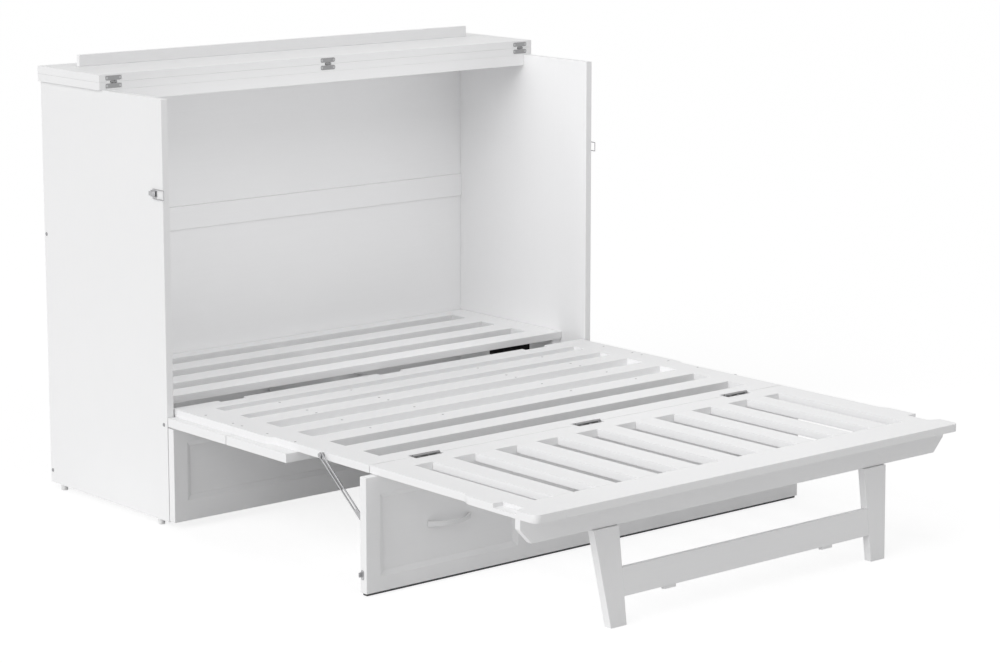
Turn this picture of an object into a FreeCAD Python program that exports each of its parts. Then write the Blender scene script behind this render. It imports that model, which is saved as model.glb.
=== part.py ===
import FreeCAD, Part
import math
import os

# A cabinet bed, shown open. A white chest-like cabinet stands at the back. Its front is one
# folding stack: the seat deck swings down to level, the foot deck unfolds from it, a hanging
# front panel drops down as a middle leg, and a leg frame folds down at the foot. The lid is
# split in two, and its front half lies folded back on the rear half.
# Millimetres. +Z is up, X runs along the cabinet and the bed reaches out towards -Y.
# While it is drawn, x = 0 is the middle of the cabinet, y = 0 is the front edge of its side
# panels and z = 0 is the floor. At the end everything is moved along Y, so that the origin
# lies on the floor under the middle of the whole bed.

# ---- cabinet ----
cabinet_width = 1430.0
side_depth = 560.0
side_height = 1073.0
side_thickness = 20.0
glide_height = 15.0
glide_radius = 9.0
glide_inset = 50.0
edge_round = 1.2
back_thickness = 5.0
back_inset = 10.0
back_rail_thickness = 15.0
back_rail_height = 64.0
back_rail_bottom = 653.0
rear_rail_thickness = 20.0
rear_rail_height = 60.0
rear_rail_bottom = 18.0
wall_rail_thickness = 5.0
wall_rail_height = 126.0
stretcher_thickness = 20.0
stretcher_height = 60.0
stretcher_setback = 5.0
stretcher_drop = 27.0
cleat_width = 30.0
cleat_height = 40.0
cleat_setback = 5.0
post_depth = 40.0
support_thickness = 20.0
support_setback = 160.0
cap_radius = 5.0
cap_thickness = 2.0
front_bolt_drop = 12.0

# ---- lid ----
lid_board = 20.0
lid_overhang = 8.0
lid_front_overhang = 30.0
lid_seam = 1.0
lid_fold_gap = 0.2
lid_edge_round = 0.5
lid_stretcher_height = 30.0
batten_thickness = 12.0
batten_height = 30.0
batten_reach = 60.0
batten_end_inset = 63.0
lid_hinge_end_inset = 35.0
lid_plate_length = 48.0
lid_plate_height = 12.0
lid_plate_thickness = 1.5
lid_plate_proud = 0.35
lid_screw_radius = 1.6
lid_screw_sink = 0.5
lid_knuckle_radius = 2.5
lid_knuckle_length = 18.0
lid_pin_radius = 1.0
lid_neck_play = 0.2

# ---- decks ----
deck_top = 304.0
deck_thickness = 19.0
deck_side_gap = 4.0
deck_narrowing = 11.0
s_curve_length = 36.0
head_deck_rise = 8.0
head_deck_thickness = 20.0
head_deck_front = 100.0
head_deck_side_gap = 1.0
head_side_rail = 76.0
head_rear_rail = 52.0
head_front_rail = 68.0
head_slat = 70.0
head_openings = 3
seat_rear = 12.0
seat_length = 793.0
seat_rear_rail = 65.0
seat_front_rail = 58.0
seat_side_rail = 85.0
seat_slat = 68.0
seat_narrow_opening = 41.0
seat_narrow_openings = 2
seat_openings = 6
seat_wide_length = 394.0
fold_seam = 2.0
foot_length = 597.0
foot_rear_rail = 66.0
foot_end_rail = 107.0
foot_side_rail = 89.5
foot_outer_opening = 55.0
foot_slat = 60.0
foot_openings = 10
foot_wide_length = 224.0
foot_corner_radius = 18.0
finger_notch_from_end = 74.0
finger_notch_length = 68.0
finger_notch_width = 29.0
finger_notch_slant = 10.0
beam_thickness = 17.0
beam_setback = 51.0
beam_height = 59.0
beam_straight = 23.0
beam_chamfer_run = 34.0

# ---- fronts: four rows of false drawer fronts ----
front_thickness = 23.0
front_gap = 3.0
front_stile = 41.0
recess_depth = 7.0
recess_bevel = 12.0
recess_step = 1.2
row_gap = 3.0
lower_front_bottom = 18.0
lower_front_bottom_rail = 53.0
lower_front_top_rail = 37.0
row_height = 250.0
row_rail = 46.0
panel_setback = 9.0
panel_rail = 43.0
floor_strip_height = 6.0
floor_strip_lift = 1.0
floor_strip_width = 15.0
floor_strip_end_inset = 4.0

# ---- pulls ----
pull_length = 133.0
pull_projection = 28.0
pull_thickness = 4.0
pull_foot_length = 6.4
pull_end_height = 16.0
pull_middle_height = 10.0

# ---- pivots and hinges ----
lift_axis_y = 3.0
lift_axis_rise = 6.0
seat_notch_depth = 15.0
seat_notch_end_room = 5.0
hinge_from_deck_edge = 179.0
hinge_length = 70.0
hinge_knuckle_radius = 4.5
leaf_thickness = 2.0
leaf_length = 30.0
leaf_play = 0.5
leaf_tip_play = 1.0
pin_radius = 2.0
pin_play = 0.05
knuckle_play = 0.4
seam_axis_rise = 0.5
seam_pocket_half = 42.0
seam_pocket_reach = 17.0
seam_pocket_depth = 5.0
seam_knuckle_radius = 3.5
seam_leaf_end_play = 2.0
panel_hinge_from_deck_edge = 306.0
panel_fold_gap = 1.0
panel_knuckle_room = 1.5
leg_hinge_length = 50.0

# ---- leg frame ----
leg_thickness = 21.0
leg_lean = 7.1
leg_inner_inset = 288.5
leg_top_inset = 212.0
leg_foot_inset = 240.0
leg_top_gap = 1.0
leg_axis_back = 5.0
leg_hinge_clear = 5.0
leg_stretcher_bottom = 60.0
leg_stretcher_height = 65.5
leg_stretcher_thickness = 18.0
leg_block_width = 36.0
leg_block_height = 7.5
leg_block_setback = 3.0
leg_block_from_leg = 144.5

# ---- stays ----
stay_screw_from_front = 177.0
stay_screw_drop = 8.0
stay_screw_radius = 2.5
stay_head_radius = 6.0
stay_head_thickness = 2.2
stay_head_gap = 0.6
stay_socket_radius = 1.8
stay_socket_depth = 1.2
stay_pin_drop = 125.0
stay_pin_standoff = 12.0
stay_half_width = 7.0
stay_thickness = 3.0
stay_slot_half = 3.5
stay_play = 0.1
stay_hole_play = 0.6
bush_gap = 0.3
bracket_thickness = 3.0
bracket_gap = 0.8
bracket_ear_radius = 7.0
bracket_foot_half = 21.0
bracket_foot_side = 1.0
bracket_stub_play = 0.5
layer_gap = 2.2
stay_groove_depth = 13.0
stay_groove_play = 1.0
stay_groove_drop = 35.0
stay_groove_from_top = 15.0

# ---- draw latches ----
latch_base_front = 24.0
latch_base_length = 28.0
latch_base_height = 16.0
latch_plate = 1.5
latch_axis_out = 4.2
latch_ear_radius = 3.0
latch_ear_over = 0.5
latch_pin_radius = 1.2
lever_axis_y = 30.0
bail_axis_y = 37.0
lever_length = 24.0
lever_height = 11.0
lever_play = 0.4
lever_barrel_radius = 2.3
lever_plate_out = 0.4
lever_web_half = 1.0
bail_wire_radius = 1.25
bail_height = 24.0
bail_reach = 10.0
bail_grip_inset = 2.5
keeper_height = 51.0
keeper_plate_height = 24.0
keeper_plate_width = 11.0
keeper_inset = 3.0
keeper_tab_height = 11.0
keeper_tab_out = 8.0
keeper_tab_thickness = 2.5

# ---- charging unit under the head deck ----
charger_from_side = 164.0
charger_width = 98.0
charger_depth = 60.0
charger_height = 28.0
charger_setback = 5.0

# ---- screws in the seat deck ----
screw_radius = 3.5
screw_play = 0.1
screw_sink = 0.4
screw_columns = (21.0, 248.0, 477.0)    # in from the deck's long edge
screw_rows = ((0, 11.0), (1, 19.0), (1, 57.0), (2, 33.0), (3, 17.0))    # slat, and in from its rear edge

cut_over = 1.0    # how far a cut reaches past the face that it opens

# ---- worked out ----
half_width = cabinet_width / 2
inner_half = half_width - side_thickness
side_bottom = glide_height
side_top = side_bottom + side_height
deck_bottom = deck_top - deck_thickness
deck_half = inner_half - deck_side_gap
deck_mid_half = deck_half - deck_narrowing
seat_front = seat_rear - seat_length
deck_inner = deck_half - seat_side_rail
head_top = deck_top + head_deck_rise
head_bottom = head_top - head_deck_thickness
back_inner = side_depth - back_inset
lid_top = side_top + lid_board
lid_axis_y = (side_depth - lid_front_overhang) / 2
lid_axis_z = lid_top + lid_fold_gap / 2
foot_rear = seat_front - fold_seam
foot_end = foot_rear - foot_length
seam_axis_y = seat_front - fold_seam / 2
seam_axis_z = deck_top + seam_axis_rise
panel_back = seat_front - panel_setback
panel_front = panel_back - front_thickness
panel_axis_y = panel_back + panel_fold_gap / 2
panel_axis_z = deck_bottom - panel_fold_gap / 2
panel_top = deck_bottom - panel_fold_gap
panel_bottom = floor_strip_lift + floor_strip_height
beam_front = foot_end + beam_setback
beam_rear = beam_front + beam_thickness
beam_bottom = deck_bottom - beam_height
leg_axis_y = beam_rear + leg_axis_back
leg_axis_z = beam_bottom
leg_inner = deck_half - leg_inner_inset
leg_top_outer = deck_half - leg_top_inset
leg_foot_outer = deck_half - leg_foot_inset
leg_hinge_x = (leg_inner + leg_top_outer) / 2
lift_axis_z = deck_bottom + lift_axis_rise
hinge_x = deck_half - hinge_from_deck_edge
panel_hinge_x = deck_half - panel_hinge_from_deck_edge
charger_x = inner_half - charger_from_side
front_bottom_z = deck_bottom - front_thickness
row_3_rear = -front_gap
row_2_rear = row_3_rear - row_height - row_gap
# Row 2 fills what row 3 and the front folded up behind it leave free under the seat deck.
row_2_height = row_2_rear - row_gap - (panel_axis_y + panel_axis_z - floor_strip_lift)
hinge_xs = (-hinge_x, 0.0, hinge_x)
panel_hinge_xs = (-panel_hinge_x, 0.0, panel_hinge_x)
lid_hinge_xs = (-half_width + lid_hinge_end_inset, 0.0, half_width - lid_hinge_end_inset)
leg_hinge_xs = (-leg_hinge_x, leg_hinge_x)
stay_screw_y = seat_front + stay_screw_from_front
stay_screw_z = deck_top - stay_screw_drop
stay_pin_y = panel_back + stay_pin_standoff
stay_pin_z = panel_axis_z - stay_pin_drop
stay_run = math.hypot(stay_screw_y - stay_pin_y, stay_screw_z - stay_pin_z)
stay_tilt = math.degrees(math.atan2(stay_screw_z - stay_pin_z, stay_screw_y - stay_pin_y))
stay_folded = stay_screw_y - (panel_axis_y + stay_pin_drop)
bracket_x = deck_mid_half + bracket_gap
stay_x = bracket_x + bracket_thickness + layer_gap
# Closed, the front hangs upside down from the raised deck, and the latches meet its keepers.
latch_height = lift_axis_z + (lift_axis_y - panel_axis_y) - (panel_axis_z - keeper_height)

X = FreeCAD.Vector(1, 0, 0)
Y = FreeCAD.Vector(0, 1, 0)
Z = FreeCAD.Vector(0, 0, 1)
nodes = {}


def vec(x, y, z):
    return FreeCAD.Vector(x, y, z)


def block(x0, x1, y0, y1, z0, z1):
    return Part.makeBox(x1 - x0, y1 - y0, z1 - z0, vec(x0, y0, z0))


def board(x0, x1, y0, y1, z0, z1, radius=edge_round):
    """A board with every edge eased."""
    solid = block(x0, x1, y0, y1, z0, z1)
    return solid.makeFillet(radius, solid.Edges)


def rod(x, y, z, radius, length, axis):
    return Part.makeCylinder(radius, length, vec(x, y, z), axis)


def flip(shape):
    """The same shape on the other side of the middle plane."""
    return shape.mirror(vec(0, 0, 0), X)


def both_sides(shape):
    return [shape, flip(shape)]


def fuse(shapes):
    whole = shapes[0]
    for shape in shapes[1:]:
        whole = whole.fuse(shape)
    return whole.removeSplitter()


def outline(points, direction):
    """A prism of straight edges through the points."""
    return Part.Face(Part.makePolygon(list(points) + [points[0]])).extrude(direction)


def line(a, b):
    return Part.LineSegment(a, b).toShape()


def arc(a, middle, b):
    return Part.Arc(a, middle, b).toShape()


def keep(name, shapes):
    """One node: a list of separate solids, or one solid."""
    shapes = shapes if isinstance(shapes, list) else [shapes]
    solids = [solid for shape in shapes for solid in shape.Solids]
    nodes[name] = solids[0] if len(solids) == 1 else Part.makeCompound(solids)


# ---------------------------------------------------------------- false drawer fronts


def recess(x0, x1, z0, z1):
    """A shallow recess in a face at y = 0 that looks along -Y.

    Its sides step in square, slope, and step in square again to the floor."""
    wires = []
    for y, inset in ((recess_step, 0.0), (recess_depth - recess_step, recess_bevel)):
        low = vec(x0 + inset, y, z0 + inset)
        high = vec(x1 - inset, y, z1 - inset)
        corners = [low, vec(high.x, y, low.z), high, vec(low.x, y, high.z), low]
        wires.append(Part.makePolygon(corners))
    mouth = block(x0, x1, -cut_over, recess_step, z0, z1)
    floor = block(x0 + recess_bevel, x1 - recess_bevel, recess_depth - recess_step,
                  recess_depth, z0 + recess_bevel, z1 - recess_bevel)
    return mouth.fuse(Part.makeLoft(wires, True, True)).fuse(floor).removeSplitter()


def false_front(height, count, bottom_rail, top_rail):
    """A front board, its face at y = 0, standing on z = 0, with a row of recesses."""
    panel = board(-half_width, half_width, 0, front_thickness, 0, height)
    width = (cabinet_width - (count + 1) * front_stile) / count
    for n in range(count):
        x0 = -half_width + front_stile + n * (width + front_stile)
        panel = panel.cut(recess(x0, x0 + width, bottom_rail, height - top_rail))
    return panel


def recess_centres(count):
    width = (cabinet_width - (count + 1) * front_stile) / count
    pitch = width + front_stile
    return [(n - (count - 1) / 2) * pitch for n in range(count)]


def pull(x, z):
    """A bow pull on the floor of a recess: a strap that arches out and is slimmer midway."""
    half = pull_length / 2
    inner = half - pull_foot_length
    near = -(pull_projection - pull_thickness)
    flat = [
        arc(vec(-half, 0, 0), vec(0, -pull_projection, 0), vec(half, 0, 0)),
        line(vec(half, 0, 0), vec(inner, 0, 0)),
        arc(vec(inner, 0, 0), vec(0, near, 0), vec(-inner, 0, 0)),
        line(vec(-inner, 0, 0), vec(-half, 0, 0)),
    ]
    band = Part.Face(Part.Wire(flat)).extrude(Z * pull_end_height)
    band.translate(vec(0, 0, -pull_end_height / 2))
    end, middle = pull_end_height / 2, pull_middle_height / 2
    y = cut_over
    side = [
        arc(vec(-half, y, end), vec(0, y, middle), vec(half, y, end)),
        line(vec(half, y, end), vec(half, y, -end)),
        arc(vec(half, y, -end), vec(0, y, -middle), vec(-half, y, -end)),
        line(vec(-half, y, -end), vec(-half, y, end)),
    ]
    waist = Part.Face(Part.Wire(side)).extrude(Y * -(pull_projection + 2 * cut_over))
    shape = band.common(waist)
    shape.translate(vec(x, recess_depth, z))
    return shape


def pulls(count, height, bottom_rail, top_rail):
    middle = (bottom_rail + height - top_rail) / 2
    return [pull(x, middle) for x in recess_centres(count)]


def under_seat(shape, rear):
    """Turns an upright front so that its face looks down, under the seat deck."""
    turned = shape.copy()
    turned.rotate(vec(0, 0, 0), X, 90)
    turned.translate(vec(0, rear, front_bottom_z))
    return turned


def moved(shape, y, z):
    copy = shape.copy()
    copy.translate(vec(0, y, z))
    return copy


# ---------------------------------------------------------------- hinges


def barrel(x, y, z, length, radius, bore):
    tube = rod(x - length / 2, y, z, radius, length, X)
    return tube.cut(rod(x - length / 2 - cut_over, y, z, bore, length + 2 * cut_over, X))


def leaf_box(x, length, corner, size):
    """A hinge leaf: corner and size are its (y, z) corner and its (y, z) extent."""
    return block(x - length / 2, x + length / 2, corner[0], corner[0] + size[0],
                 corner[1], corner[1] + size[1])


def hinge(x, length, axis, radius, middle_leaf, outer_leaf):
    """A butt hinge: the middle leaf owns the middle knuckle, the outer leaf the other two."""
    third = length / 3
    spans = [(-third, "outer"), (0.0, "middle"), (third, "outer")]
    y, z = axis
    middle = leaf_box(x, length, *middle_leaf)
    outer = leaf_box(x, length, *outer_leaf)
    for offset, owner in spans:
        clear = rod(x + offset - third / 2 - knuckle_play / 2, y, z, radius + knuckle_play,
                    third + knuckle_play, X)
        tube = barrel(x + offset, y, z, third - knuckle_play, radius,
                      pin_radius + (pin_play if owner == "outer" else 0.0))
        bore = rod(x - length, y, z, pin_radius + pin_play, 2 * length, X)
        if owner == "middle":
            outer = outer.cut(clear)
            middle = middle.cut(bore).fuse(tube)
        else:
            middle = middle.cut(clear)
            outer = outer.cut(bore).fuse(tube)
    pin = rod(x - length / 2, y, z, pin_radius, length, X)
    return middle.removeSplitter(), outer.removeSplitter(), pin


# ---------------------------------------------------------------- cabinet


def make_cabinet():
    side = board(inner_half, half_width, 0, side_depth, side_bottom, side_top)
    keep("side_panel_right", side)
    keep("side_panel_left", flip(side))
    back_outer = back_inner + back_thickness
    rail_top = back_rail_bottom + back_rail_height
    rear_top = rear_rail_bottom + rear_rail_height
    keep("back_panels", [
        block(-inner_half, inner_half, back_inner, back_outer, rear_top, back_rail_bottom),
        block(-inner_half, inner_half, back_inner, back_outer, rail_top, side_top),
    ])
    keep("back_rail", board(-inner_half, inner_half, side_depth - back_rail_thickness,
                            side_depth, back_rail_bottom, rail_top))
    keep("bottom_rear_rail", board(-inner_half, inner_half, side_depth - rear_rail_thickness,
                                   side_depth, rear_rail_bottom, rear_top))
    keep("wall_rail", board(-inner_half, inner_half, back_outer,
                            back_outer + wall_rail_thickness,
                            side_top - wall_rail_height, side_top))
    y1 = stretcher_setback + stretcher_thickness
    stretcher_top = deck_top - stretcher_drop
    keep("front_stretcher", board(-inner_half, inner_half, stretcher_setback, y1,
                                  stretcher_top - stretcher_height, stretcher_top))
    post = board(inner_half - cleat_width, inner_half, -front_gap, post_depth - front_gap,
                 lower_front_bottom, stretcher_top - stretcher_height)
    cleat = board(inner_half - cleat_width, inner_half, head_deck_front + cleat_setback,
                  side_depth - rear_rail_thickness, head_bottom - cleat_height, head_bottom)
    keep("side_cleats", both_sides(post) + both_sides(cleat))
    support = board(-support_thickness / 2, support_thickness / 2, y1,
                    side_depth - rear_rail_thickness, side_bottom, head_bottom)
    step = block(-support_thickness, support_thickness, 0, head_deck_front + support_setback,
                 stretcher_top, deck_top)
    keep("centre_support", support.cut(step))
    glide_y = (glide_inset, side_depth - glide_inset)
    glide_x = (-half_width + side_thickness / 2, 0.0, half_width - side_thickness / 2)
    keep("glides", [rod(x, y, 0, glide_radius, glide_height, Z)
                    for x in glide_x for y in glide_y])
    cap_spots = (
        (side_depth - rear_rail_thickness / 2, back_rail_bottom + back_rail_height / 2),
        (side_depth - rear_rail_thickness / 2, rear_rail_bottom + rear_rail_height / 2),
        (stretcher_setback + stretcher_thickness / 2, stretcher_top - front_bolt_drop),
    )
    caps = []
    for y, z in cap_spots:
        caps += both_sides(rod(half_width, y, z, cap_radius, cap_thickness, X))
    keep("bolt_caps", caps)
    charger_y = head_deck_front + charger_setback
    keep("charging_unit", board(charger_x - charger_width / 2, charger_x + charger_width / 2,
                                charger_y, charger_y + charger_depth,
                                head_bottom - charger_height, head_bottom))


def make_lower_front():
    height = front_bottom_z - front_gap - lower_front_bottom
    rails = (lower_front_bottom_rail, lower_front_top_rail)
    front = false_front(height, 2, *rails)
    y = -front_gap - front_thickness
    keep("lower_front", moved(front, y, lower_front_bottom))
    keep("lower_front_pulls", [moved(p, y, lower_front_bottom)
                               for p in pulls(2, height, *rails)])


# ---------------------------------------------------------------- lid


def lid_plate(x, z):
    """A round-ended hinge plate let into a lid edge at the fold line."""
    half = lid_plate_length / 2
    r = lid_plate_height / 2
    y = lid_axis_y + lid_seam / 2 - lid_plate_proud
    shape = block(x - half + r, x + half - r, y, y + lid_plate_thickness, z - r, z + r)
    for cx in (x - half + r, x + half - r):
        shape = shape.fuse(rod(cx, y, z, r, lid_plate_thickness, Y))
    shape = shape.removeSplitter()
    for cx in (x - half + r, x + half - r):
        shape = shape.cut(rod(cx, y - cut_over, z, lid_screw_radius,
                              cut_over + lid_screw_sink, Y))
    return shape


def lid_plate_bed(x, z, seam_z):
    """Room for a hinge plate, and for its neck on the way to the seam between the halves."""
    y0 = lid_axis_y + lid_seam / 2 - cut_over
    y1 = y0 + cut_over + lid_plate_thickness
    half, r = lid_plate_length / 2, lid_plate_height / 2
    neck = lid_knuckle_length / 2
    plate = block(x - half, x + half, y0, y1, z - r, z + r)
    return plate.fuse(block(x - neck, x + neck, y0, y1, min(z, seam_z), max(z, seam_z)))


def make_lid():
    edge = lid_axis_y + lid_seam / 2
    half = half_width + lid_overhang
    rear = board(-half, half, edge, side_depth, side_top, lid_top, lid_edge_round)
    front_low = lid_top + lid_fold_gap
    front_high = front_low + lid_board - lid_fold_gap
    front = board(-half, half, edge, side_depth, front_low, front_high, lid_edge_round)
    low_z = (side_top + lid_top) / 2
    high_z = (front_low + front_high) / 2
    third = lid_knuckle_length / 3
    fixed_parts, moving_parts = [], []
    for x in lid_hinge_xs:
        low = lid_plate(x, low_z)
        high = lid_plate(x, high_z)
        room = rod(x - lid_knuckle_length / 2 - cut_over, lid_axis_y, lid_axis_z,
                   lid_knuckle_radius + knuckle_play, lid_knuckle_length + 2 * cut_over, X)
        rear = rear.cut(lid_plate_bed(x, low_z, lid_axis_z)).cut(room)
        front = front.cut(lid_plate_bed(x, high_z, lid_axis_z)).cut(room)
        bore = rod(x - lid_knuckle_length, lid_axis_y, lid_axis_z,
                   lid_pin_radius + pin_play, 2 * lid_knuckle_length, X)
        y0 = edge - lid_plate_proud
        neck_half = third / 2 - lid_neck_play
        neck_low = block(x - neck_half, x + neck_half, y0, y0 + lid_plate_thickness,
                         low_z, lid_axis_z)
        tube = barrel(x, lid_axis_y, lid_axis_z, third - knuckle_play, lid_knuckle_radius,
                      lid_pin_radius)
        fixed_parts.append(low.fuse(neck_low.cut(bore)).fuse(tube).removeSplitter())
        fixed_parts.append(rod(x - lid_knuckle_length / 2, lid_axis_y, lid_axis_z,
                               lid_pin_radius, lid_knuckle_length, X))
        for offset in (-third, third):
            neck = block(x + offset - neck_half, x + offset + neck_half, y0,
                         y0 + lid_plate_thickness, lid_axis_z, high_z)
            high = high.fuse(neck.cut(bore))
            high = high.fuse(barrel(x + offset, lid_axis_y, lid_axis_z,
                                    third - knuckle_play, lid_knuckle_radius,
                                    lid_pin_radius + pin_play))
        moving_parts.append(high.removeSplitter())
    keep("lid_rear_board", rear)
    keep("lid_front_board", front)
    keep("lid_hinge_lower", fixed_parts)
    keep("lid_hinge_upper", moving_parts)
    keep("lid_stretcher", board(-inner_half, inner_half, edge, edge + stretcher_thickness,
                                side_top - lid_stretcher_height, side_top))
    batten_y = 2 * lid_axis_y - batten_reach
    keep("lid_batten", board(-half_width + batten_end_inset, half_width - batten_end_inset,
                             batten_y, batten_y + batten_thickness,
                             front_high, front_high + batten_height))


# ---------------------------------------------------------------- head deck


def make_head_deck():
    half = inner_half - head_deck_side_gap
    rear = back_inner - head_deck_side_gap
    inner = half - head_side_rail
    z0, z1 = head_bottom, head_top
    side = block(inner, half, head_deck_front, rear, z0, z1)
    y_front = head_deck_front + head_front_rail
    y_rear = rear - head_rear_rail
    keep("head_deck_rails", both_sides(side) + [
        block(-inner, inner, head_deck_front, y_front, z0, z1),
        block(-inner, inner, y_rear, rear, z0, z1),
    ])
    opening = (y_rear - y_front - (head_openings - 1) * head_slat) / head_openings
    slats = []
    for n in range(head_openings - 1):
        y = y_front + opening + n * (opening + head_slat)
        slats.append(block(-inner, inner, y, y + head_slat, z0, z1))
    keep("head_deck_slats", slats)


# ---------------------------------------------------------------- seat deck


def s_edges(x_wide, x_narrow, y_wide, y_narrow, z):
    """Two tangent arcs that step from the wide edge to the narrow one."""
    dx = (x_wide - x_narrow) / 2
    dy = (y_narrow - y_wide) / 2
    radius = (dx * dx + dy * dy) / (2 * dx)
    turn = math.asin(abs(dy) / radius)
    sign = math.copysign(1.0, dy)
    middle = vec((x_wide + x_narrow) / 2, (y_wide + y_narrow) / 2, z)
    near = vec(x_wide - radius * (1 - math.cos(turn / 2)),
               y_wide + sign * radius * math.sin(turn / 2), z)
    far = vec(x_narrow + radius * (1 - math.cos(turn / 2)),
              y_narrow - sign * radius * math.sin(turn / 2), z)
    start, end = vec(x_wide, y_wide, z), vec(x_narrow, y_narrow, z)
    return [arc(start, near, middle), arc(middle, far, end)]


def stepped_rail(inner, y_wide_end, y_wide, y_narrow, y_narrow_end):
    """A side rail that is full width at one end and set in along the other."""
    z = deck_bottom
    edges = [line(vec(deck_half, y_wide_end, z), vec(deck_half, y_wide, z))]
    edges += s_edges(deck_half, deck_mid_half, y_wide, y_narrow, z)
    corners = [vec(deck_mid_half, y_narrow, z), vec(deck_mid_half, y_narrow_end, z),
               vec(inner, y_narrow_end, z), vec(inner, y_wide_end, z),
               vec(deck_half, y_wide_end, z)]
    edges += [line(a, b) for a, b in zip(corners, corners[1:])]
    return Part.Face(Part.Wire(edges)).extrude(Z * deck_thickness)


def seat_slat_edges():
    """The (front, rear) y of each slat of the seat deck."""
    start = seat_rear - seat_rear_rail
    end = seat_front + seat_front_rail
    wide_count = seat_openings - seat_narrow_openings
    slat_room = (seat_openings - 1) * seat_slat
    narrow_room = seat_narrow_openings * seat_narrow_opening
    wide = (start - end - slat_room - narrow_room) / wide_count
    y = start
    spans = []
    for n in range(seat_openings - 1):
        y -= seat_narrow_opening if n < seat_narrow_openings else wide
        spans.append((y - seat_slat, y))
        y -= seat_slat
    return spans


def screw_holes():
    slats = seat_slat_edges()
    ys = [slats[n][1] - inset for n, inset in screw_rows]
    xs = [sign * (deck_half - inset) for inset in screw_columns for sign in (-1, 1)]
    spots = [(x, y) for x in xs for y in ys]
    holes = [rod(x, y, deck_bottom - cut_over, screw_radius + screw_play,
                 deck_thickness + 2 * cut_over, Z) for x, y in spots]
    screws = [rod(x, y, deck_bottom, screw_radius, deck_thickness - screw_sink, Z)
              for x, y in spots]
    return Part.makeCompound(holes), screws


def seam_pocket(x):
    return block(x - seam_pocket_half, x + seam_pocket_half, seam_axis_y - seam_pocket_reach,
                 seam_axis_y + seam_pocket_reach, deck_top - seam_pocket_depth,
                 deck_top + cut_over)


def lift_notch(x):
    """A notch in the rear edge, with a bed for the hinge leaf under it."""
    half = hinge_length / 2 + seat_notch_end_room
    notch = block(x - half, x + half, seat_rear - seat_notch_depth, seat_rear + cut_over,
                  deck_bottom - cut_over, deck_top + cut_over)
    half = hinge_length / 2 + leaf_play
    bed = block(x - half, x + half, seat_rear - seat_notch_depth - leaf_length, seat_rear,
                deck_bottom - cut_over, deck_bottom + leaf_thickness)
    return notch.fuse(bed)


def panel_hinge_bed(x):
    """Room under the seat and foot decks for the hanging panel's hinge."""
    half = hinge_length / 2 + leaf_play
    seat_bed = block(x - half, x + half, panel_axis_y, seat_front + leaf_length,
                     deck_bottom - cut_over, deck_bottom + leaf_thickness)
    radius = hinge_knuckle_radius + knuckle_play
    room = block(x - half, x + half, panel_axis_y - radius - panel_knuckle_room,
                 foot_rear + cut_over, deck_bottom - cut_over, panel_axis_z + radius)
    return seat_bed, room


def make_seat_deck():
    holes, screws = screw_holes()
    curve = seat_rear - seat_wide_length
    side = stepped_rail(deck_inner, seat_rear, curve, curve - s_curve_length, seat_front)
    keep("seat_side_rails", both_sides(side.cut(holes)))
    rear = block(-deck_inner, deck_inner, seat_rear - seat_rear_rail, seat_rear,
                 deck_bottom, deck_top)
    front = block(-deck_inner, deck_inner, seat_front, seat_front + seat_front_rail,
                  deck_bottom, deck_top)
    for x in hinge_xs:
        rear = rear.cut(lift_notch(x))
        front = front.cut(seam_pocket(x))
    for x in panel_hinge_xs:
        front = front.cut(panel_hinge_bed(x)[0])
    keep("seat_end_rails", [rear, front])
    slats = []
    for y0, y1 in seat_slat_edges():
        slat = block(-deck_inner, deck_inner, y0, y1, deck_bottom, deck_top)
        slats.append(slat.cut(holes))
    keep("seat_slats", slats)
    keep("seat_screws", screws)
    beds = Part.makeCompound([lift_notch(x) for x in hinge_xs])
    row_pulls = []
    for number, row_rear, height in ((3, row_3_rear, row_height),
                                     (2, row_2_rear, row_2_height)):
        rail = row_rail * height / row_height
        row = false_front(height, 2, rail, rail)
        keep("front_row_" + str(number), under_seat(row, row_rear).cut(beds))
        row_pulls += [under_seat(p, row_rear) for p in pulls(2, height, rail, rail)]
    keep("seat_pulls", row_pulls)


def make_lift_hinges():
    axis = (lift_axis_y, lift_axis_z)
    low, high, pins = [], [], []
    front = stretcher_setback - leaf_thickness
    drop = lift_axis_z - (deck_top - stretcher_drop) + leaf_length
    reach = seat_rear - seat_notch_depth - leaf_length
    for x in hinge_xs:
        fixed = ((front, lift_axis_z - drop), (leaf_thickness, drop))
        moving = ((reach, deck_bottom), (lift_axis_y - reach, leaf_thickness))
        a, b, pin = hinge(x, hinge_length, axis, hinge_knuckle_radius, fixed, moving)
        low.append(a)
        high.append(b)
        pins.append(pin)
    keep("lift_hinge_lower", low + pins)
    keep("lift_hinge_upper", high)


# ---------------------------------------------------------------- foot deck


def finger_notch():
    """A half-thickness notch in the long edge, to lift the foot deck by."""
    y1 = foot_end + finger_notch_from_end
    y0 = y1 + finger_notch_length
    x0 = deck_half - finger_notch_width
    x1 = deck_half + cut_over
    z = deck_top - deck_thickness / 2
    points = [vec(x1, y0, z), vec(x0, y0, z), vec(x0, y1, z),
              vec(x1, y1 - finger_notch_slant, z)]
    return outline(points, Z * deck_thickness)


def upright_edges(solid, x, y):
    """The solid's edges that stand upright at x, y."""
    return [edge for edge in solid.Edges
            if all(math.hypot(v.X - x, v.Y - y) < 0.01 for v in edge.Vertexes)]


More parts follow.
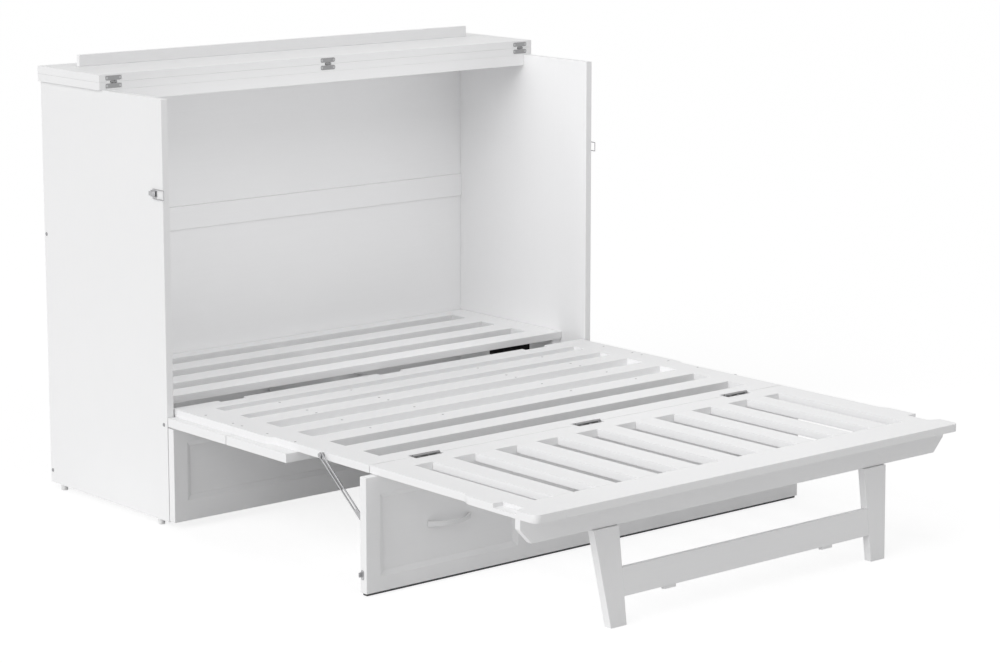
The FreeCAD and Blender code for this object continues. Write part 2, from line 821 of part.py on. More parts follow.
def make_foot_deck():
    inner = deck_half - foot_side_rail
    curve = foot_end + foot_wide_length
    side = stepped_rail(inner, foot_end, curve, curve + s_curve_length, foot_rear)
    side = side.makeFillet(foot_corner_radius, upright_edges(side, deck_half, foot_end))
    side = side.cut(finger_notch())
    keep("foot_side_rails", both_sides(side))
    rear = block(-inner, inner, foot_rear - foot_rear_rail, foot_rear, deck_bottom, deck_top)
    end = block(-inner, inner, foot_end, foot_end + foot_end_rail, deck_bottom, deck_top)
    for x in hinge_xs:
        rear = rear.cut(seam_pocket(x))
    for x in panel_hinge_xs:
        rear = rear.cut(panel_hinge_bed(x)[1])
    keep("foot_end_rails", [rear, end])
    wide = 2 * (inner - foot_outer_opening) - (foot_openings - 1) * foot_slat
    wide = wide / (foot_openings - 2)
    slats = []
    for n in range(foot_openings - 1):
        x = -inner + foot_outer_opening + n * (foot_slat + wide)
        slats.append(block(x, x + foot_slat, foot_end + foot_end_rail,
                           foot_rear - foot_rear_rail, deck_bottom, deck_top))
    keep("foot_slats", slats)
    z_turn = deck_bottom - beam_straight
    low = deck_half - beam_chamfer_run
    points = [vec(-deck_half, beam_front, deck_bottom), vec(deck_half, beam_front, deck_bottom),
              vec(deck_half, beam_front, z_turn), vec(low, beam_front, beam_bottom),
              vec(-low, beam_front, beam_bottom), vec(-deck_half, beam_front, z_turn)]
    keep("foot_beam", outline(points, Y * beam_thickness))


def make_seam_hinges():
    axis = (seam_axis_y, seam_axis_z)
    z = deck_top - seam_pocket_depth
    lift = seam_pocket_depth - leaf_thickness
    reach = seam_pocket_reach - leaf_tip_play
    length = 2 * (seam_pocket_half - seam_leaf_end_play)
    seat, foot, pins = [], [], []
    for x in hinge_xs:
        seat_leaf = ((seam_axis_y, z), (reach, lift))
        foot_leaf = ((seam_axis_y - reach, z), (reach, lift))
        a, b, pin = hinge(x, length, axis, seam_knuckle_radius, seat_leaf, foot_leaf)
        seat.append(a)
        foot.append(b)
        pins.append(pin)
    keep("seam_hinge_seat", seat + pins)
    keep("seam_hinge_foot", foot)


# ---------------------------------------------------------------- hanging panel


def stay_groove():
    """A groove in the back of the hanging panel that the stay's end dips into as it folds."""
    return block(stay_x - stay_groove_play, stay_x + stay_thickness + stay_groove_play,
                 panel_back - stay_groove_depth, panel_back + cut_over,
                 stay_pin_z - stay_groove_drop, panel_top - stay_groove_from_top)


def keeper():
    """A round-ended plate whose rear edge is bent up into the tab that the latch's loop hooks."""
    y1 = panel_back - keeper_inset
    y0 = y1 - keeper_plate_width
    r = keeper_plate_width / 2
    z0 = keeper_height - keeper_plate_height / 2 + r
    z1 = keeper_height + keeper_plate_height / 2 - r
    plate = block(half_width, half_width + latch_plate, y0, y1, z0, z1)
    for z in (z0, z1):
        plate = plate.fuse(rod(half_width, (y0 + y1) / 2, z, r, latch_plate, X))
    tab = block(half_width, half_width + keeper_tab_out, y1 - keeper_tab_thickness, y1,
                keeper_height - keeper_tab_height / 2, keeper_height + keeper_tab_height / 2)
    return plate.fuse(tab).removeSplitter()


def make_hanging_panel():
    height = panel_top - panel_bottom
    front = moved(false_front(height, 3, panel_rail - panel_bottom, panel_rail),
                  panel_front, panel_bottom)
    half = hinge_length / 2 + leaf_play
    radius = hinge_knuckle_radius + knuckle_play + leaf_play
    y1, z1 = panel_back + cut_over, panel_top + cut_over
    for x in panel_hinge_xs:
        front = front.cut(block(x - half, x + half, panel_axis_y - radius, y1,
                                panel_axis_z - radius, z1))
        front = front.cut(block(x - half, x + half, panel_back - leaf_thickness, y1,
                                panel_axis_z - leaf_length, z1))
    groove = stay_groove()
    keep("front_row_1", front.cut(groove).cut(flip(groove)))
    keep("panel_pulls", [moved(p, panel_front, panel_bottom)
                         for p in pulls(3, height, panel_rail - panel_bottom, panel_rail)])
    half = half_width - floor_strip_end_inset
    middle = (panel_front + panel_back) / 2
    keep("floor_strip", board(-half, half, middle - floor_strip_width / 2,
                              middle + floor_strip_width / 2, floor_strip_lift, panel_bottom))
    keep("keepers", both_sides(keeper()))


def make_panel_hinges():
    axis = (panel_axis_y, panel_axis_z)
    length = leaf_length - leaf_tip_play
    seat, front, pins = [], [], []
    for x in panel_hinge_xs:
        seat_leaf = ((panel_axis_y, deck_bottom),
                     (seat_front + length - panel_axis_y, leaf_thickness))
        front_leaf = ((panel_back - leaf_thickness, panel_axis_z - length),
                      (leaf_thickness, length))
        a, b, pin = hinge(x, hinge_length, axis, hinge_knuckle_radius, seat_leaf, front_leaf)
        seat.append(a)
        front.append(b)
        pins.append(pin)
    keep("panel_hinge_seat", seat + pins)
    keep("panel_hinge_front", front)


# ---------------------------------------------------------------- leg frame


def lean(shape):
    turned = shape.copy()
    turned.rotate(vec(0, leg_axis_y, leg_axis_z), X, -leg_lean)
    return turned


def trim(shape):
    """Cuts the leaning legs off level, just under the beam and on the floor."""
    room = block(-half_width, half_width, foot_end - leg_axis_z, foot_end + leg_axis_z, 0,
                 leg_axis_z - leg_top_gap)
    return shape.common(room)


def make_legs():
    rear = leg_axis_y - leg_hinge_clear
    front = rear - leg_thickness
    over = leg_thickness
    slope = (leg_top_outer - leg_foot_outer) / leg_axis_z
    points = [vec(leg_inner, front, leg_axis_z + over),
              vec(leg_top_outer + slope * over, front, leg_axis_z + over),
              vec(leg_foot_outer - slope * over, front, -over),
              vec(leg_inner, front, -over)]
    leg = trim(lean(outline(points, Y * leg_thickness)))
    keep("leg_right", leg)
    keep("leg_left", flip(leg))
    back = front + leg_stretcher_thickness
    bar = board(-leg_inner, leg_inner, front, back, leg_stretcher_bottom,
                leg_stretcher_bottom + leg_stretcher_height)
    keep("leg_stretcher", lean(bar))
    x = leg_inner - leg_block_from_leg
    foot = board(x - leg_block_width / 2, x + leg_block_width / 2,
                 front + leg_block_setback, back - leg_block_setback,
                 leg_stretcher_bottom - leg_block_height, leg_stretcher_bottom)
    keep("leg_stretcher_blocks", both_sides(lean(foot)))


def make_leg_hinges():
    axis = (leg_axis_y, leg_axis_z)
    fixed, moving = [], []
    for x in leg_hinge_xs:
        beam_leaf = ((beam_rear, leg_axis_z), (leaf_thickness, leaf_length))
        leg_leaf = ((leg_axis_y - leg_hinge_clear, leg_axis_z - leaf_length),
                    (leaf_thickness, leaf_length - leg_top_gap))
        a, b, pin = hinge(x, leg_hinge_length, axis, hinge_knuckle_radius, beam_leaf, leg_leaf)
        fixed += [a, pin]
        moving.append(lean(b))
    keep("leg_hinge_beam", fixed)
    keep("leg_hinge_leg", moving)


# ---------------------------------------------------------------- stays


def stay_bar():
    """A flat slotted bar from the hanging panel's bracket to the screw on the seat deck."""
    run = stay_run
    r, t = stay_half_width, stay_thickness
    bar = block(0, t, 0, run, -r, r)
    bar = bar.fuse(rod(0, 0, 0, r, t, X)).fuse(rod(0, run, 0, r, t, X)).removeSplitter()
    s, x, deep = stay_slot_half, -cut_over, stay_thickness + 2 * cut_over
    start = stay_folded - 2 * stay_slot_half
    slot = block(x, x + deep, start, run, -s, s)
    slot = slot.fuse(rod(x, start, 0, s, deep, X)).fuse(rod(x, run, 0, s, deep, X))
    bar = bar.cut(slot).cut(rod(x, 0, 0, pin_radius + stay_hole_play, deep, X))
    bar.rotate(vec(0, 0, 0), X, stay_tilt)
    bar.translate(vec(stay_x, stay_pin_y, stay_pin_z))
    return bar


def make_stays():
    bar = stay_bar()
    keep("stay_right", bar)
    keep("stay_left", flip(bar))
    y, z = stay_screw_y, stay_screw_z
    bush_x = deck_mid_half + bush_gap
    bush_length = stay_x + stay_thickness - deck_mid_half
    collar = rod(bush_x, y, z, stay_head_radius, stay_x - bush_gap - bush_x, X)
    sleeve = rod(bush_x, y, z, stay_slot_half - stay_play, bush_length, X)
    bush = collar.fuse(sleeve).removeSplitter()
    bush = bush.cut(rod(deck_mid_half, y, z, stay_screw_radius + pin_play,
                        2 * bush_length, X))
    keep("stay_bush_right", bush)
    keep("stay_bush_left", flip(bush))
    head_x = stay_x + stay_thickness + stay_head_gap
    screw = rod(deck_mid_half, y, z, stay_screw_radius, head_x - deck_mid_half, X)
    head = rod(head_x, y, z, stay_head_radius, stay_head_thickness, X)
    socket = rod(head_x + stay_head_thickness - stay_socket_depth, y, z,
                 stay_socket_radius, stay_socket_depth + cut_over, X)
    keep("stay_screws", both_sides(screw.fuse(head).removeSplitter().cut(socket)))
    r = bracket_ear_radius
    x0, x1 = bracket_x, bracket_x + bracket_thickness
    ear = block(x0, x1, panel_back, stay_pin_y, stay_pin_z - r, stay_pin_z + r)
    ear = ear.fuse(rod(x0, stay_pin_y, stay_pin_z, r, bracket_thickness, X))
    foot = block(x0, x1 + bracket_foot_side, panel_back, panel_back + bracket_thickness,
                 stay_pin_z - bracket_foot_half, stay_pin_z + bracket_foot_half)
    stub = rod(x1, stay_pin_y, stay_pin_z, pin_radius, layer_gap - bracket_stub_play, X)
    keep("stay_brackets", both_sides(ear.fuse(foot).fuse(stub).removeSplitter()))


# ---------------------------------------------------------------- latches


def bail():
    """A wire loop that hangs on the lever and reaches past the cabinet's front edge."""
    x = half_width + latch_axis_out
    r = bail_wire_radius
    top = latch_height + bail_height / 2
    low = latch_height - bail_height / 2
    grip = lever_height / 2 - bail_grip_inset
    length = bail_axis_y + bail_reach
    runs = [
        rod(x, bail_axis_y, latch_height + grip, r, top - latch_height - grip, Z),
        rod(x, -bail_reach, top, r, length, Y),
        rod(x, -bail_reach, low, r, top - low, Z),
        rod(x, -bail_reach, low, r, length, Y),
        rod(x, bail_axis_y, low, r, latch_height - grip - low, Z),
    ]
    bends = [Part.makeSphere(r, vec(x, y, z)) for y in (bail_axis_y, -bail_reach)
             for z in (top, low)]
    return fuse(runs + bends)


def make_latches():
    x0 = half_width
    xa = half_width + latch_axis_out
    base = block(x0, x0 + latch_plate, latch_base_front, latch_base_front + latch_base_length,
                 latch_height - latch_base_height / 2, latch_height + latch_base_height / 2)
    half_lever = lever_height / 2
    ear_t = latch_base_height / 2 - half_lever - lever_play
    r = latch_ear_radius
    for z in (latch_height - latch_base_height / 2, latch_height + half_lever + lever_play):
        ear = block(x0, xa + latch_ear_over, lever_axis_y - r, lever_axis_y + r, z, z + ear_t)
        ear = ear.fuse(rod(xa, lever_axis_y, z, r, ear_t, Z))
        base = base.fuse(ear)
    pin = rod(xa, lever_axis_y, latch_height - latch_base_height / 2, latch_pin_radius,
              latch_base_height, Z)
    keep("latch_bases", both_sides(base.fuse(pin).removeSplitter()))
    z0 = latch_height - half_lever
    z1 = z0 + lever_height
    lever = rod(xa, lever_axis_y, z0, lever_barrel_radius, lever_height, Z)
    lever = lever.fuse(rod(xa, bail_axis_y, z0, lever_barrel_radius, lever_height, Z))
    plate_x = xa + lever_plate_out
    lever = lever.fuse(block(plate_x, plate_x + latch_plate, lever_axis_y,
                             lever_axis_y + lever_length, z0, z1))
    lever = lever.fuse(block(xa - lever_web_half, xa + lever_web_half, lever_axis_y,
                             bail_axis_y, z0, z1)).removeSplitter()
    for y, radius in ((lever_axis_y, latch_pin_radius), (bail_axis_y, bail_wire_radius)):
        lever = lever.cut(rod(xa, y, z0 - cut_over, radius + pin_play,
                              lever_height + 2 * cut_over, Z))
    keep("latch_lever_right", lever)
    keep("latch_lever_left", flip(lever))
    loop = bail()
    keep("latch_bail_right", loop)
    keep("latch_bail_left", flip(loop))


make_cabinet()
make_lower_front()
make_lid()
make_head_deck()
make_seat_deck()
make_lift_hinges()
make_foot_deck()
make_seam_hinges()
make_hanging_panel()
make_panel_hinges()
make_legs()
make_leg_hinges()
make_stays()
make_latches()

# The whole bed is centred along Y over the origin.
boxes = [shape.BoundBox for shape in nodes.values()]
shift_y = -(min(b.YMin for b in boxes) + max(b.YMax for b in boxes)) / 2

os.makedirs("parts", exist_ok=True)
for name, shape in nodes.items():
    shape.translate(vec(0, shift_y, 0))
    if not shape.isValid():
        print("not valid:", name)
    shape.exportStep("parts/" + name + ".step")

# What the record states: each pivot's place, and how far the stays and legs move.
print("shift_y", shift_y)
for label, y, z in (("lift", lift_axis_y, lift_axis_z), ("seam", seam_axis_y, seam_axis_z),
                    ("panel", panel_axis_y, panel_axis_z), ("legs", leg_axis_y, leg_axis_z),
                    ("lid", lid_axis_y, lid_axis_z), ("stay", stay_screw_y, stay_screw_z),
                    ("lever", lever_axis_y, latch_height), ("bail", bail_axis_y, latch_height)):
    print("axis", label, round(y + shift_y, 4), round(z, 4))
print("latch_x", half_width + latch_axis_out)
print("stay", round(stay_run, 4), round(stay_tilt, 5), round(stay_folded, 4))
print("leg_fold", 90 + leg_lean)
print("nodes", len(nodes))
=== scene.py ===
import math

import bmesh
import bpy
import numpy as np
from bpy.props import FloatProperty, FloatVectorProperty, PointerProperty
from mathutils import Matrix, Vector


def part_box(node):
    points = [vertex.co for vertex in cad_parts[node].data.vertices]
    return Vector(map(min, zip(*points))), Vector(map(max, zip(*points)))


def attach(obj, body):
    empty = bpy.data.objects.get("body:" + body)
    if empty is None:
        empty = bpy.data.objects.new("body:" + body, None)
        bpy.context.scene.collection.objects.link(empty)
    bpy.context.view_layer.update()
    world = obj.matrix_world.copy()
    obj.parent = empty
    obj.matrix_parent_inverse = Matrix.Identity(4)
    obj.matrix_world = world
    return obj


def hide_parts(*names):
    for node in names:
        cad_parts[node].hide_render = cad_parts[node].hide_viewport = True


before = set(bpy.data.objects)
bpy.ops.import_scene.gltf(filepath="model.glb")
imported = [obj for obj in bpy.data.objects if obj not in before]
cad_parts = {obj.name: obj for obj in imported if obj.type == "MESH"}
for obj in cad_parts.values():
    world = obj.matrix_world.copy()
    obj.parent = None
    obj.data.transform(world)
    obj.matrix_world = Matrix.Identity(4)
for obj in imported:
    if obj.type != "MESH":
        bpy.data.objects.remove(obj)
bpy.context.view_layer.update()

bl_info = {
    "name": "Cabinet bed finish",
    "version": (1, 0, 0),
    "blender": (4, 5, 0),
    "location": "View3D > Sidebar > Cabinet bed",
    "description": "Paints, fits out and photographs a fold-out cabinet bed",
    "category": "Object",
}

# All lengths here are in metres.

# Which way the faint grain of each painted node runs.
GRAIN_Z = (
    "side_panel_left", "side_panel_right", "leg_left", "leg_right", "side_cleats",
    "centre_support",
)
GRAIN_Y = ("seat_side_rails", "foot_side_rails", "foot_slats")
GRAIN_X = (
    "back_rail", "bottom_rear_rail", "wall_rail", "front_stretcher", "lower_front",
    "lid_rear_board", "lid_stretcher", "head_deck_rails", "head_deck_slats",
    "lid_front_board", "lid_batten", "seat_end_rails", "seat_slats", "front_row_3",
    "front_row_2", "foot_end_rails", "foot_beam", "front_row_1", "leg_stretcher",
    "leg_stretcher_blocks",
)
# Boards whose edges are sharp in the frame and are eased here. The boards with screw
# holes aren't among them: an eased hole would spoil the shading of the long faces.
SHARP = (
    "head_deck_rails", "head_deck_slats", "seat_end_rails", "foot_side_rails",
    "foot_end_rails", "foot_slats", "foot_beam", "leg_left", "leg_right", "back_panels",
)
HINGES = (
    "lid_hinge_lower", "lid_hinge_upper", "lift_hinge_lower", "lift_hinge_upper",
    "seam_hinge_seat", "seam_hinge_foot", "panel_hinge_seat", "panel_hinge_front",
    "leg_hinge_beam", "leg_hinge_leg",
)
STEEL = (
    "stay_left", "stay_right", "stay_screws", "stay_brackets", "keepers",
    "latch_bases", "latch_lever_left", "latch_lever_right", "latch_bail_left",
    "latch_bail_right",
)
STEEL_SHARP = (
    "lid_hinge_lower", "lid_hinge_upper", "stay_left", "stay_right", "stay_brackets",
    "keepers", "latch_bases", "latch_lever_left", "latch_lever_right",
)

# Places of the hinges along the bed's width, and of the screws from a hinge's middle.
SEAM_HINGE_X = (-0.512, 0.0, 0.512)
SEAM_SCREW_X = (-0.028, 0.0, 0.028)
PANEL_HINGE_X = (-0.385, 0.0, 0.385)
PANEL_SCREW_X = (-0.022, 0.022)
LID_HINGE_X = (-0.680, 0.0, 0.680)
LID_SCREW_X = (-0.020, 0.020)
LEG_HINGE_X = (-0.44075, 0.44075)
LEG_SCREW_X = (-0.015, 0.015)
DECK_SCREW_X = (-0.670, -0.443, -0.214, 0.214, 0.443, 0.670)

# Radius and height of the screws' heads. Those of the lid are nearly flush: when the lid
# is shut, its hinge plates lie 0.2 mm apart, face to face.
LID_HEAD = (0.0034, 0.00008)
LEAF_HEAD = (0.0030, 0.0005)
KEEPER_HEAD = (0.0020, 0.0005)
DECK_HEAD = (0.0033, 0.0004)
HEAD_SINK = 0.0004

# The plain pull of the frame, which a bow pull takes the place of.
PLAIN_PULL_HALF_WIDTH = 0.0665
PLAIN_PULL_HALF_HEIGHT = 0.008

CAP_RADIUS = 0.005
CAP_HEIGHT = 0.0019

EASE_SEGMENTS = 2
EASE_ANGLE = math.radians(40)

LEFT, RIGHT = (-1.0, 0.0, 0.0), (1.0, 0.0, 0.0)
FRONT, REAR = (0.0, -1.0, 0.0), (0.0, 1.0, 0.0)
DOWN, UP = (0.0, 0.0, -1.0), (0.0, 0.0, 1.0)

WHITE = (1.0, 1.0, 1.0, 1.0)
FLOOR_MATTE = (0.82, 0.82, 0.82, 1.0)
# What the camera sees of the floor: enough of the shadow, over a glow that makes it white.
FLOOR_SEEN = (0.30, 0.30, 0.30, 1.0)
FLOOR_GLOW = 0.80

SENSOR_WIDTH = 36.0  # millimetres
FRAME_PIXELS = 1000


# ------------------------------------------------------------------ shader maths


class Value:
    """A number socket that takes Python's operators. Each one adds a Math node."""

    def __init__(self, graph, socket):
        self.graph = graph
        self.socket = socket

    def _math(self, operation, first, second):
        node = self.graph.node(
            "ShaderNodeMath", {"operation": operation}, {0: first, 1: second}
        )
        return Value(self.graph, node.outputs[0])

    def __add__(self, other):
        return self._math("ADD", self, other)

    def __radd__(self, other):
        return self._math("ADD", other, self)

    def __sub__(self, other):
        return self._math("SUBTRACT", self, other)

    def __rsub__(self, other):
        return self._math("SUBTRACT", other, self)

    def __mul__(self, other):
        return self._math("MULTIPLY", self, other)

    def __rmul__(self, other):
        return self._math("MULTIPLY", other, self)

    def maximum(self, other):
        return self._math("MAXIMUM", self, other)


class Graph:
    """A node tree that is written in Python expressions."""

    def __init__(self, tree):
        self.tree = tree

    def node(self, kind, settings=None, inputs=None):
        """Adds a node: its settings first, then the values or links of its sockets."""
        node = self.tree.nodes.new(kind)
        for name, value in (settings or {}).items():
            setattr(node, name, value)
        for name, value in (inputs or {}).items():
            self.feed(node.inputs[name], value)
        return node

    def feed(self, socket, value):
        if isinstance(value, Value):
            value = value.socket
        if isinstance(value, bpy.types.NodeSocket):
            self.tree.links.new(value, socket)
        else:
            socket.default_value = value

    def seen_directly(self):
        """1 for rays from the camera and through gloss or glass, 0 for those of light."""
        path = self.node("ShaderNodeLightPath").outputs
        camera, glossy, clear = (
            Value(self, path["Is " + kind + " Ray"])
            for kind in ("Camera", "Glossy", "Transmission")
        )
        return camera.maximum(glossy).maximum(clear)


class Surface(Graph):
    """The node tree of one material, with its Principled BSDF."""

    def __init__(self, name, slot):
        self.material = bpy.data.materials.new(name)
        self.material.use_nodes = True
        self.material["slot"] = slot
        super().__init__(self.material.node_tree)
        self.shader = self.tree.nodes["Principled BSDF"]

    def set(self, **inputs):
        """Sets the shader's own sockets, written with _ for a space."""
        for name, value in inputs.items():
            self.feed(self.shader.inputs[name.replace("_", " ")], value)

    def noise(self, scale, stretch=(1.0, 1.0, 1.0), detail=3.0, roughness=0.5):
        """Noise on Object coordinates, whose scale in each direction is multiplied."""
        place = self.node("ShaderNodeTexCoord").outputs["Object"]
        mapped = self.node("ShaderNodeMapping", {}, {"Vector": place, "Scale": stretch})
        texture = self.node(
            "ShaderNodeTexNoise",
            {},
            {
                "Vector": mapped.outputs["Vector"],
                "Scale": scale,
                "Detail": detail,
                "Roughness": roughness,
            },
        )
        return Value(self, texture.outputs[0])

    def mix(self, factor, low, high):
        """Mixes two colours."""
        node = self.node(
            "ShaderNodeMix", {"data_type": "RGBA"}, {0: factor, 6: low, 7: high}
        )
        return node.outputs[2]

    def bump(self, height, distance, strength=1.0):
        node = self.node(
            "ShaderNodeBump",
            {},
            {"Height": height, "Distance": distance, "Strength": strength},
        )
        return node.outputs["Normal"]


def shade(colour, factor):
    """The colour made darker or lighter, as red, green, blue, alpha."""
    return [min(1.0, part * factor) for part in colour] + [1.0]


def along(axis, grain):
    """Noise scales that draw the grain out along one axis."""
    return tuple(1.0 / grain if n == axis else 1.0 for n in range(3))


def painted(name, slot, colour, roughness, axis, depth):
    """Satin paint: faint grain drawn out along the board, under a fine roller texture."""
    g = Surface(name, slot)
    grain = g.noise(260.0, stretch=along(axis, 26.0), detail=4.0, roughness=0.55)
    roller = g.noise(900.0, detail=2.0)
    cloud = g.noise(3.0, detail=2.0)
    tone = cloud * 0.6 + grain * 0.4
    g.set(
        Base_Color=g.mix(tone, shade(colour, 0.965), shade(colour, 1.025)),
        Roughness=roughness - 0.04 + grain * 0.08,
        Normal=g.bump(grain * 0.7 + roller * 0.3, depth),
        Coat_Weight=0.06,
        Coat_Roughness=0.3,
    )
    return g.material


def zinc_steel(name, slot, colour, roughness):
    """Satin zinc plate: cloudy roughness and fine rolling marks."""
    g = Surface(name, slot)
    cloud = g.noise(90.0)
    marks = g.noise(700.0, stretch=(1.0, 0.15, 0.15), detail=2.0)
    g.set(
        Base_Color=g.mix(cloud, shade(colour, 0.88), shade(colour, 1.08)),
        Roughness=roughness - 0.06 + cloud * 0.12,
        Metallic=1.0,
        Normal=g.bump(marks, 0.00003),
    )
    return g.material


def moulded(name, slot, colour, roughness, scale, depth, specular=0.5):
    """Moulded plastic or rubber with a fine spark-eroded texture."""
    g = Surface(name, slot)
    skin = g.noise(scale, detail=2.0)
    cloud = g.noise(scale * 0.08, detail=2.0)
    g.set(
        Base_Color=g.mix(cloud, shade(colour, 0.85), shade(colour, 1.15)),
        Roughness=roughness - 0.05 + cloud * 0.1,
        Specular_IOR_Level=specular,
        Normal=g.bump(skin, depth),
    )
    return g.material


def enamel(name, slot, colour, roughness):
    """Powder coat on cast metal: smooth, with a soft orange peel."""
    g = Surface(name, slot)
    peel = g.noise(420.0, detail=1.0)
    g.set(
        Base_Color=g.mix(peel, shade(colour, 0.97), shade(colour, 1.02)),
        Roughness=roughness - 0.03 + peel * 0.06,
        Normal=g.bump(peel, 0.00006),
        Coat_Weight=0.2,
        Coat_Roughness=0.15,
    )
    return g.material


def finish_nodes(names, material):
    """Gives CAD nodes a material. Their meshes stay as they are."""
    for name in names:
        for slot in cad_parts[name].material_slots:
            slot.material = material


def ease_edges(names, width):
    """Joins a node's loose triangles and rounds its sharp edges, in modifiers."""
    for name in names:
        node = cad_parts[name]
        weld = node.modifiers.new("join", "WELD")
        weld.merge_threshold = 0.00001
        bevel = node.modifiers.new("ease", "BEVEL")
        bevel.width = width
        bevel.segments = EASE_SEGMENTS
        bevel.limit_method = "ANGLE"
        bevel.angle_limit = EASE_ANGLE
        bevel.harden_normals = True


# ------------------------------------------------------------------ surfaces


def grid_quads(rows, columns):
    """The quads of a grid of points whose last column joins its first."""
    row = np.arange(rows - 1)[:, None]
    column = np.arange(columns)[None, :]
    after = (column + 1) % columns
    quads = [
        row * columns + column,
        row * columns + after,
        (row + 1) * columns + after,
        (row + 1) * columns + column,
    ]
    return np.stack(quads, axis=-1).reshape(-1, 4)


def add_piece(name, grids, material, body):
    """One object from closed grids of points, each (rows, columns, 3) and round in columns.

    The first and last row of each grid lie in one point, so merging closes the poles."""
    points, quads, start = [], [], 0
    for grid in grids:
        rows, columns = grid.shape[:2]
        points.append(grid.reshape(-1, 3))
        quads.append(grid_quads(rows, columns) + start)
        start += rows * columns
    mesh = bpy.data.meshes.new(name)
    mesh.from_pydata(np.concatenate(points), [], np.concatenate(quads))
    work = bmesh.new()
    work.from_mesh(mesh)
    bmesh.ops.remove_doubles(work, verts=work.verts, dist=1e-7)
    bmesh.ops.dissolve_degenerate(work, edges=work.edges, dist=1e-7)
    bmesh.ops.recalc_face_normals(work, faces=work.faces)
    work.to_mesh(mesh)
    work.free()
    mesh.polygons.foreach_set("use_smooth", np.ones(len(mesh.polygons), bool))
    mesh.materials.append(material)
    piece = bpy.data.objects.new(name, mesh)
    bpy.context.scene.collection.objects.link(piece)
    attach(piece, body)
    return piece


def frame_of(normal):
    """Three unit vectors: two across the normal, and the normal."""
    up = np.asarray(normal, float)
    up = up / np.linalg.norm(up)
    side = np.cross([0.0, 0.0, 1.0] if abs(up[2]) < 0.9 else [1.0, 0.0, 0.0], up)
    side /= np.linalg.norm(side)
    return side, np.cross(up, side), up


def polar_grid(place, normal, reach, around, level):
    """Points at a distance and angle from place, across normal, raised by level along it."""
    side, across, up = frame_of(normal)
    flat = (reach * np.cos(around))[..., None] * side
    flat = flat + (reach * np.sin(around))[..., None] * across
    return np.asarray(place, float) + flat + level[..., None] * up


def screw_head(place, normal, radius, height):
    """A domed head with a cross recess, as a polar grid.

    Height over radius r is height * (1 - r^2), less a recess of four lobes,
    1.1 * height * ((1 + cos 4a) / 2)^3, which fades out from 0.5 to 0.62 of the radius.
    Inside 0.2 of the radius the lobes run together. The last rows go down the rim and
    close underneath."""
    around = np.linspace(0, 2 * np.pi, 32, endpoint=False)[None, :]
    reach = np.array([0.0, 0.12, 0.25, 0.38, 0.5, 0.6, 0.75, 0.9, 1.0])[:, None]
    lobe = ((1 + np.cos(4 * around)) / 2) ** 3
    spread = np.clip(reach / 0.2, 0, 1)
    inside = np.clip((0.62 - reach) / 0.12, 0, 1)
    recess = inside * (1 - spread + spread * lobe)
    level = height * (1 - reach**2) - recess * height * 1.1
    rim = np.full_like(around, -HEAD_SINK)
    level = np.concatenate([level, rim, rim])
    reach = np.concatenate([reach, [[1.0]], [[0.0]]]) * radius
    return polar_grid(place, normal, reach, around, level)


def domed_cap(place, normal, radius, height):
    """A cap: flat in the middle and falling off at the rim, as height * (1 - r^6).

    A dimple of half its height, 1 - r / 0.3, lies in the middle."""
    around = np.linspace(0, 2 * np.pi, 32, endpoint=False)[None, :]
    reach = np.array([0.0, 0.2, 0.35, 0.5, 0.65, 0.8, 0.9, 0.96, 1.0])[:, None]
    level = height * (1 - reach**6) + 0 * around
    dimple = np.clip(1 - reach / 0.3, 0, 1) * height * 0.5
    level = np.concatenate([level - dimple, np.zeros_like(around)])
    reach = np.concatenate([reach, [[0.0]]]) * radius
    return polar_grid(place, normal, reach, around, level)


def bow_pull(place, out, high, length, projection):
    """A bow pull: a strap swept along x = u * length / 2, standing out by (1 - |u|^2.4)^1.5.

    Its section is a superellipse, thin, and 10.2 + 5.5 * u^2 mm high. It closes to a
    point at each end, over the last 4 % of its half length."""
    thick = 0.0038
    tip = 0.04
    turn = 1 - np.cos(np.linspace(0.6, np.pi, 6))
    u = np.concatenate([[-1.0], -1 + tip / 2 * turn, np.linspace(-0.93, 0.93, 61),
                        1 - tip / 2 * turn[::-1], [1.0]])
    end = np.sqrt(np.clip(1 - ((np.abs(u) - (1 - tip)) / tip).clip(0) ** 2, 0, 1))
    stand = thick / 2 + (projection - thick) * (1 - np.abs(u) ** 2.4).clip(0) ** 1.5
    tall = (0.0102 + 0.0055 * u**2) * end
    slope = np.gradient(stand, u * length / 2)
    lean = np.sqrt(1 + slope**2)
    around = np.linspace(0, 2 * np.pi, 24, endpoint=False)
    flat_c = np.sign(np.cos(around)) * np.abs(np.cos(around)) ** 0.55
    flat_s = np.sign(np.sin(around)) * np.abs(np.sin(around)) ** 0.55
    half = (thick / 2 * end)[:, None] * flat_c
    x = (u * length / 2)[:, None] - half * (slope / lean)[:, None]
    y = stand[:, None] + half * (1 / lean)[:, None]
    z = (tall / 2)[:, None] * flat_s
    points = np.asarray(place, float) + x[..., None] * np.asarray(RIGHT)
    points = points + y[..., None] * np.asarray(out)
    return points + z[..., None] * np.asarray(high)


# ------------------------------------------------------------------ settings


class BoardSettings(bpy.types.PropertyGroup):
    """The painted boards."""

    colour: FloatVectorProperty(
        name="Paint", description="Colour of the painted boards", subtype="COLOR",
        default=(0.88, 0.88, 0.885), min=0.0, max=1.0,
    )
    roughness: FloatProperty(
        name="Roughness", description="Roughness of the paint", default=0.46, min=0.0, max=1.0,
    )
    grain_depth: FloatProperty(
        name="Grain depth", description="Depth of the faint grain under the paint",
        default=0.00012, unit="LENGTH",
    )
    edge: FloatProperty(
        name="Eased edge", description="Radius of the eased edges of the deck boards",
        default=0.0011, unit="LENGTH",
    )


